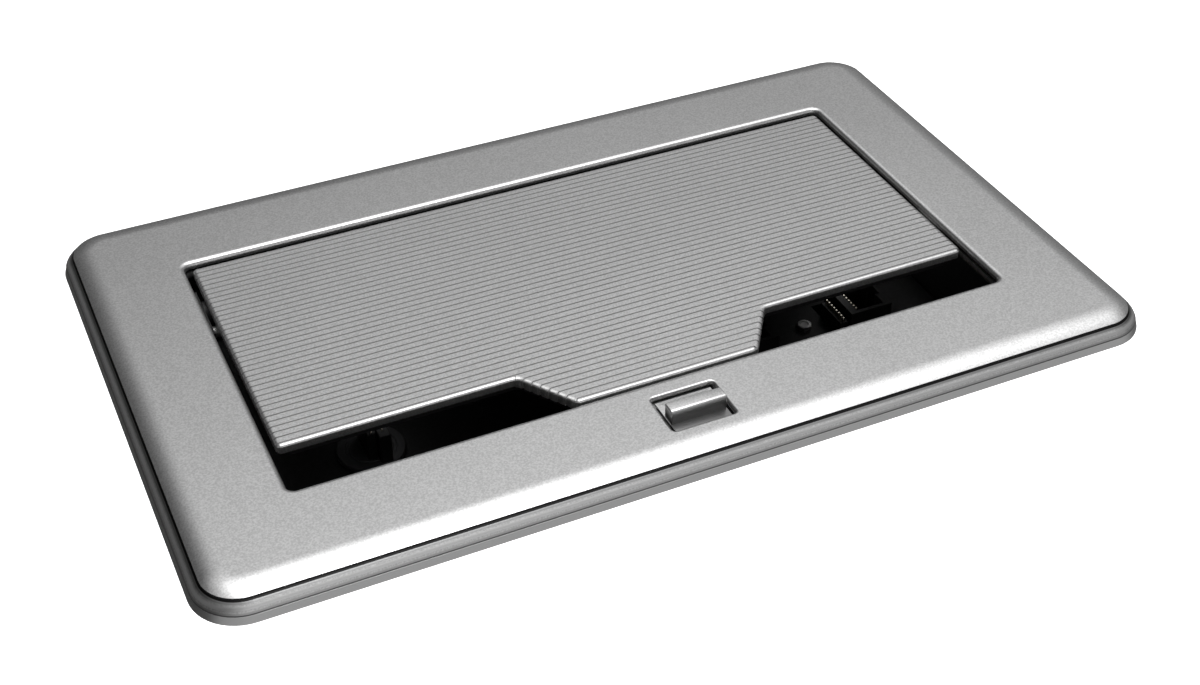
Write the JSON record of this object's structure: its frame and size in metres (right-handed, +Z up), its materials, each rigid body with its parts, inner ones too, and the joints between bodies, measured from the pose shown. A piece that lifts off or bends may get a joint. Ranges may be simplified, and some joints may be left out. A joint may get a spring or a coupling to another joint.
{
  "type": "flip-top table connection box",
  "caption": "Framed box let into a table top: grooved flip-up lid with cable notches, sliding latch, connector plate that can be set in height, and clamps below.",
  "frame": {"origin": "centre of the base rim, in the plane of the table top that its underside lies on", "axes": "+X along the long side, +Y towards the lid's hinge, +Z up out of the table"},
  "size_m": [0.243, 0.15, 0.1091],
  "materials": {
    "satin_silver": "fine satin",
    "lid_silver": "satin, grooved",
    "latch_silver": "satin",
    "black_plastic": "matte",
    "grey_plastic": "matte",
    "black_steel": "fine matte powder coat",
    "zinc_steel": "bright zinc",
    "black_rubber": "matte",
    "gold_contacts": "bright plated",
    "bearing_bronze": "sintered",
    "nickel_magnet": "plated",
    "friction_fibre": "matte",
    "circuit_board": "solder mask"
  },
  "bodies": {
    "frame": {"base_rim": "satin_silver", "top_bezel": "satin_silver", "parting_seal": "black_rubber", "table_gasket": "black_rubber", "bezel_screws": "zinc_steel", "latch_guide": "black_plastic", "latch_guide_screws": "zinc_steel", "latch_spring": "zinc_steel", "lid_bumpers": "black_rubber", "bracket_screws": "zinc_steel", "skirt_screws": "zinc_steel", "enclosure_wrap": "black_steel", "enclosure_screws": "zinc_steel", "clamp_bracket_screws": "zinc_steel", "hinge_washer_right": "friction_fibre", "hinge_washer_left": "friction_fibre", "hinge_pin_right": "zinc_steel", "hinge_pin_left": "zinc_steel", "hinge_bracket_right": "black_steel", "hinge_bracket_left": "black_steel", "stop_pin_right": "zinc_steel", "stop_pin_left": "zinc_steel", "side_plate_right": "black_steel", "side_plate_left": "black_steel", "cable_grommet_right": "black_rubber", "cable_grommet_left": "black_rubber", "clamp_bracket_right": "black_steel", "clamp_bracket_left": "black_steel"},
    "lid": {"lid_panel": "lid_silver", "lid_underframe": "black_plastic", "lid_screws": "zinc_steel", "striker_plate": "zinc_steel", "hinge_bush_right": "bearing_bronze", "hinge_bush_left": "bearing_bronze"},
    "latch": {"latch_slider": "latch_silver", "latch_magnet": "nickel_magnet"},
    "carrier": {"connector_plate": "black_steel", "height_screws": "zinc_steel", "height_nuts": "zinc_steel", "jack_board": "circuit_board", "board_spacers": "zinc_steel", "board_screws": "zinc_steel", "header_pins": "gold_contacts", "coupler_base": "grey_plastic", "coupler_block_left": "black_plastic", "coupler_block_right": "black_plastic", "coupler_pins": "gold_contacts", "blank_plate": "black_steel", "blank_screws": "zinc_steel", "modular_jack_right": "black_plastic", "modular_jack_left": "black_plastic", "jack_contacts_right": "gold_contacts", "jack_contacts_left": "gold_contacts", "pin_header_right": "black_plastic", "pin_header_left": "black_plastic"},
    "clamp_right": {"clamp_foot_right": "black_plastic", "clamp_screw_right": "zinc_steel"},
    "clamp_left": {"clamp_foot_left": "black_plastic", "clamp_screw_left": "zinc_steel"}
  },
  "joints": [
    {"name": "lid_hinge", "type": "hinge", "parent": "frame", "child": "lid", "pos_m": [0, 0.03395, -0.001], "axis": [-1, 0, 0], "range_deg": [0, 105]},
    {"name": "latch_slide", "type": "slide", "parent": "frame", "child": "latch", "axis": [0, -1, 0], "range_m": [0, 0.003], "stiffness_N_per_m": 180, "springref_m": -0.002, "deforming": ["latch_spring"]},
    {"name": "carrier_height", "type": "slide", "parent": "frame", "child": "carrier", "axis": [0, 0, -1], "range_m": [0, 0.03]},
    {"name": "clamp_right_lift", "type": "slide", "parent": "frame", "child": "clamp_right", "axis": [0, 0, 1], "range_m": [0, 0.025]},
    {"name": "clamp_left_lift", "type": "slide", "parent": "frame", "child": "clamp_left", "axis": [0, 0, 1], "range_m": [0, 0.025]}
  ]
}
